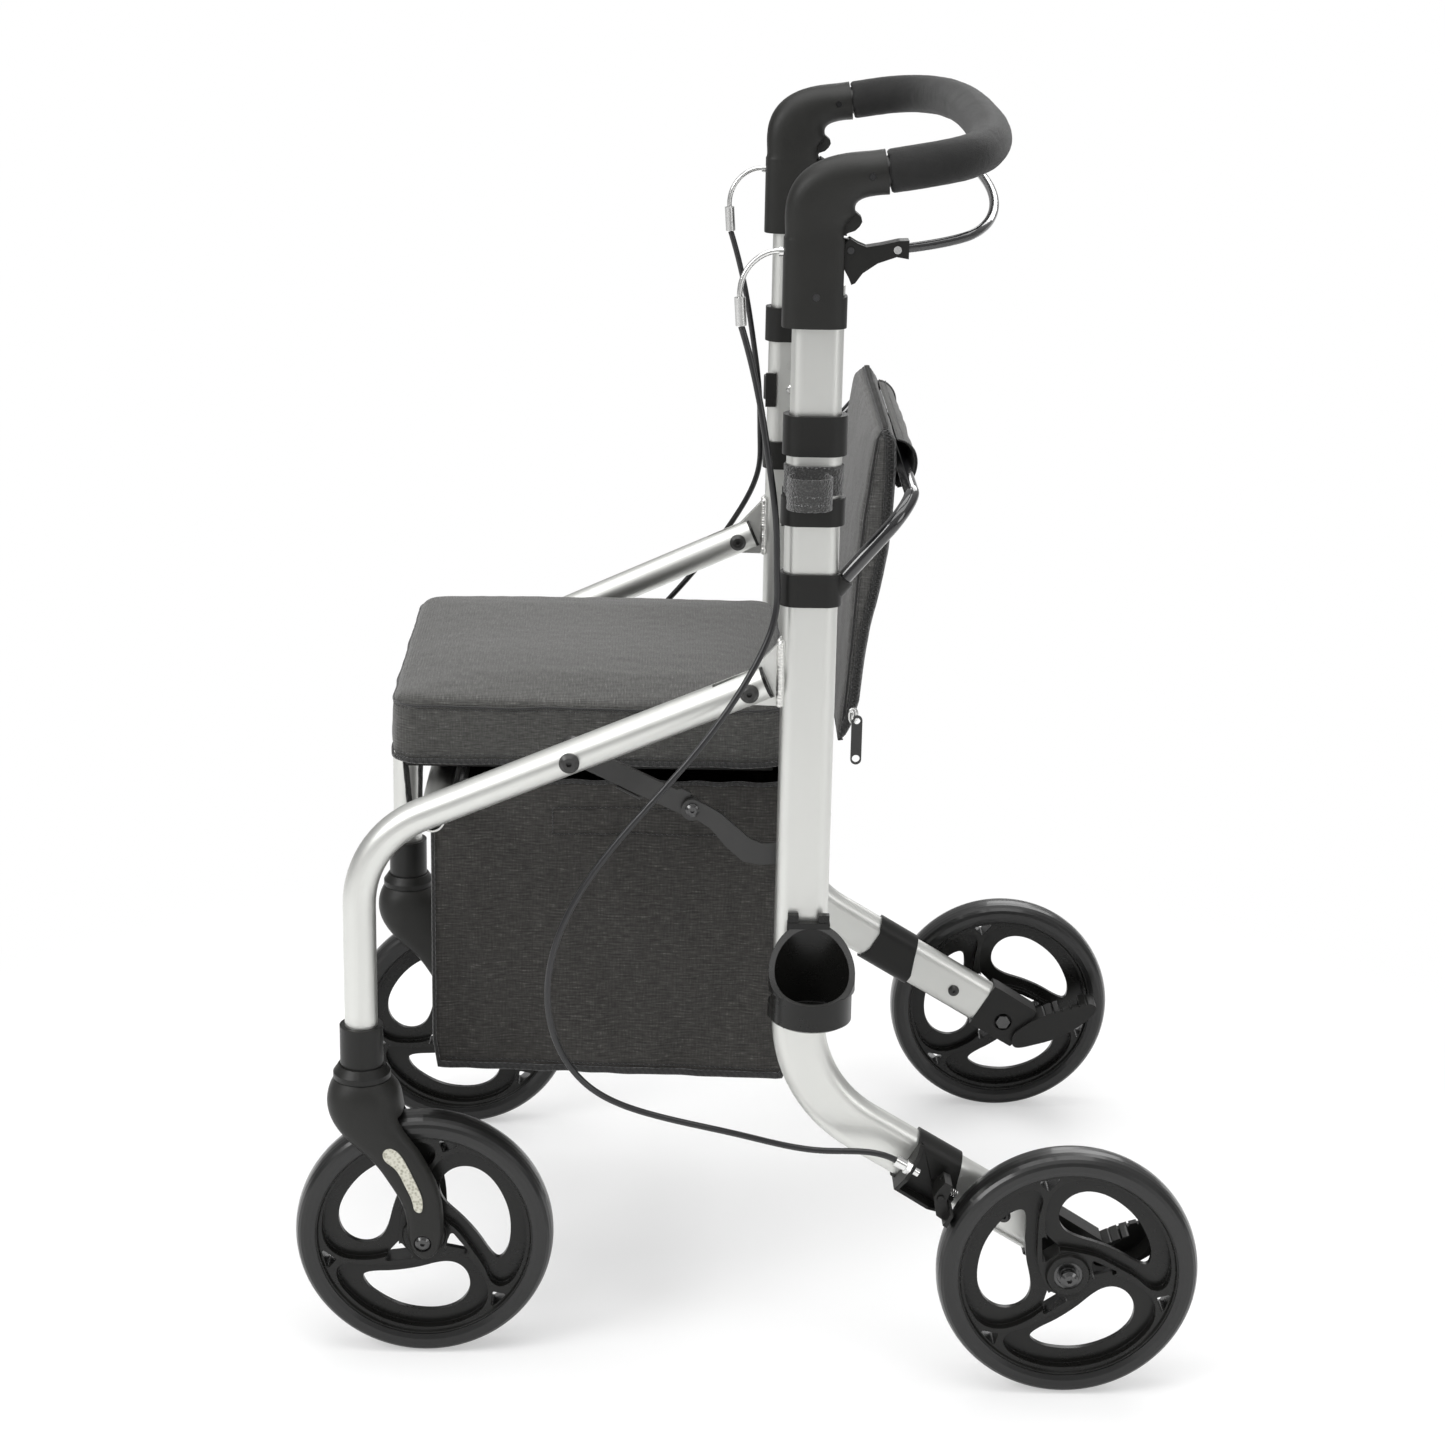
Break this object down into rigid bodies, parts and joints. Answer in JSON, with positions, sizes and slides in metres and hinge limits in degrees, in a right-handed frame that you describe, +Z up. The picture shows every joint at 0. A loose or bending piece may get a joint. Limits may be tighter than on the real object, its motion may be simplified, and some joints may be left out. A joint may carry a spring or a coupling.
{
  "type": "rollator walker",
  "caption": "Folding rollator walker with swivelling front casters, padded seat over a shopping bag, strapped backrest, height-adjustable looped push handle and ring brake.",
  "frame": {"origin": "on the ground, on the centre plane, 230 mm behind the front wheel axles' line and 264 mm in front of the rear wheels' axle", "axes": "+Z up; -Y the way it is pushed, so the backrest side is +Y; +X the user's left"},
  "size_m": [0.5896, 0.694, 0.953],
  "materials": {
    "satin_aluminium": "satin",
    "black_plastic": "satin",
    "black_webbing": "matte",
    "gloss_black_steel": "gloss",
    "satin_black_steel": "satin",
    "bright_steel": "satin",
    "cable_sheath": "gloss",
    "charcoal_fabric": "matte",
    "foam": "matte",
    "tyre_rubber": "satin",
    "reflector": "gloss"
  },
  "bodies": {
    "rear_frame": {"upright_tubes": "satin_aluminium", "rear_cross_tube": "satin_aluminium", "fold_brackets": "satin_aluminium", "upper_collars": "black_plastic", "stick_clips": "black_plastic", "stick_strap": "black_webbing", "hoop_clamps": "black_plastic", "backrest_hoop": "gloss_black_steel", "backrest_pad": "charcoal_fabric", "stick_cup": "black_plastic", "axle_blocks": "black_plastic", "brake_housings": "black_plastic", "brake_cable_fittings": "bright_steel", "brake_cables": "cable_sheath", "rear_axle_sets": "bright_steel", "frame_screws": "satin_black_steel", "shopping_bag": "charcoal_fabric"},
    "front_frame": {"front_tubes": "satin_aluminium", "front_cross_tube": "satin_aluminium", "tube_end_plugs": "black_plastic", "caster_sockets": "black_plastic", "caster_bearing_cups": "black_plastic", "fold_pivot_bolts": "satin_black_steel", "upper_link_bolts": "satin_black_steel"},
    "upper_links": {"upper_links": "satin_black_steel"},
    "lower_links": {"lower_links": "satin_black_steel", "link_rivets": "bright_steel"},
    "seat": {"seat_cushion": "charcoal_fabric", "seat_board": "black_plastic", "seat_hinges": "black_plastic", "seat_pull_strap": "black_webbing"},
    "handlebar": {"stem_tubes": "satin_aluminium", "handle_elbows": "black_plastic", "grip_core": "satin_black_steel", "foam_grip": "foam", "elbow_bolts": "satin_black_steel", "cable_noodles": "bright_steel"},
    "brake_lever": {"lever_arms": "black_plastic", "brake_ring_bar": "gloss_black_steel", "lever_rivets": "bright_steel"},
    "brake_arm_left": {"brake_arm_left": "black_plastic"},
    "brake_arm_right": {"brake_arm_right": "black_plastic"},
    "snap_button_left": {"snap_button_left": "bright_steel"},
    "snap_button_right": {"snap_button_right": "bright_steel"},
    "caster_left": {"caster_fork_left": "black_plastic", "caster_reflector_left": "reflector", "caster_axle_set_left": "bright_steel"},
    "caster_right": {"caster_fork_right": "black_plastic", "caster_reflector_right": "reflector", "caster_axle_set_right": "bright_steel"},
    "front_wheel_left": {"front_rim_left": "black_plastic", "front_tyre_left": "tyre_rubber"},
    "front_wheel_right": {"front_rim_right": "black_plastic", "front_tyre_right": "tyre_rubber"},
    "rear_wheel_left": {"rear_rim_left": "black_plastic", "rear_tyre_left": "tyre_rubber"},
    "rear_wheel_right": {"rear_rim_right": "black_plastic", "rear_tyre_right": "tyre_rubber"},
    "zip_pull": {"zip_pull": "satin_black_steel"}
  },
  "joints": [
    {"name": "fold", "type": "hinge", "parent": "rear_frame", "child": "front_frame", "pos_m": [0, 0.012, 0.548], "axis": [1, 0, 0], "range_deg": [0, 39], "deforming": ["shopping_bag"]},
    {"name": "upper_link_swing", "type": "hinge", "parent": "front_frame", "child": "upper_links", "pos_m": [0, -0.119, 0.4905], "axis": [1, 0, 0], "range_deg": [0, 34.25]},
    {"name": "lower_link_swing", "type": "hinge", "parent": "rear_frame", "child": "lower_links", "pos_m": [0, 0.058, 0.4145], "axis": [1, 0, 0], "range_deg": [-40.95, 0]},
    {"name": "seat_lift", "type": "hinge", "parent": "front_frame", "child": "seat", "pos_m": [0, -0.222, 0.438], "axis": [1, 0, 0], "range_deg": [0, 40.5]},
    {"name": "handlebar_height", "type": "slide", "parent": "rear_frame", "child": "handlebar", "axis": [0, 0, 1], "range_m": [-0.04, 0.02], "deforming": ["brake_cables", "snap_button_left", "snap_button_right"]},
    {"name": "brake_lever_pivot", "type": "hinge", "parent": "handlebar", "child": "brake_lever", "pos_m": [0, 0.0758, 0.871], "axis": [1, 0, 0], "range_deg": [-12, 11], "stiffness_Nm_per_rad": 3},
    {"name": "brake_arm_pivot_left", "type": "hinge", "parent": "rear_frame", "child": "brake_arm_left", "pos_m": [0.26, 0.1652, 0.15914], "axis": [1, 0, 0], "range_deg": [-5.5, 5]},
    {"name": "brake_arm_pivot_right", "type": "hinge", "parent": "rear_frame", "child": "brake_arm_right", "pos_m": [-0.26, 0.1652, 0.15914], "axis": [1, 0, 0], "range_deg": [-5.5, 5]},
    {"name": "snap_button_press_left", "type": "slide", "parent": "handlebar", "child": "snap_button_left", "axis": [1, 0, 0], "range_m": [0, 0.004], "stiffness_N_per_m": 400},
    {"name": "snap_button_press_right", "type": "slide", "parent": "handlebar", "child": "snap_button_right", "axis": [-1, 0, 0], "range_m": [0, 0.004], "stiffness_N_per_m": 400},
    {"name": "caster_swivel_left", "type": "hinge", "parent": "front_frame", "child": "caster_left", "pos_m": [0.212, -0.277, 0.2], "axis": [0, 0, 1], "continuous": true},
    {"name": "caster_swivel_right", "type": "hinge", "parent": "front_frame", "child": "caster_right", "pos_m": [-0.212, -0.277, 0.2], "axis": [0, 0, 1], "continuous": true},
    {"name": "front_wheel_spin_left", "type": "hinge", "parent": "caster_left", "child": "front_wheel_left", "pos_m": [0.212, -0.23, 0.1], "axis": [1, 0, 0], "continuous": true},
    {"name": "front_wheel_spin_right", "type": "hinge", "parent": "caster_right", "child": "front_wheel_right", "pos_m": [-0.212, -0.23, 0.1], "axis": [1, 0, 0], "continuous": true},
    {"name": "rear_wheel_spin_left", "type": "hinge", "parent": "rear_frame", "child": "rear_wheel_left", "pos_m": [0.266, 0.264, 0.1], "axis": [1, 0, 0], "continuous": true},
    {"name": "rear_wheel_spin_right", "type": "hinge", "parent": "rear_frame", "child": "rear_wheel_right", "pos_m": [-0.266, 0.264, 0.1], "axis": [1, 0, 0], "continuous": true},
    {"name": "zip_pull_swing", "type": "hinge", "parent": "rear_frame", "child": "zip_pull", "pos_m": [0.1357, 0.098, 0.4956], "axis": [1, 0, 0], "range_deg": [-15, 30]}
  ],
  "couplings": [
    {"joint": "upper_link_swing", "follows": "fold", "ratio": 0.8653},
    {"joint": "lower_link_swing", "follows": "fold", "ratio": -1.0373},
    {"joint": "seat_lift", "follows": "fold", "ratio": 1},
    {"joint": "brake_arm_pivot_left", "follows": "brake_lever_pivot", "ratio": 0.45},
    {"joint": "brake_arm_pivot_right", "follows": "brake_lever_pivot", "ratio": 0.45}
  ]
}
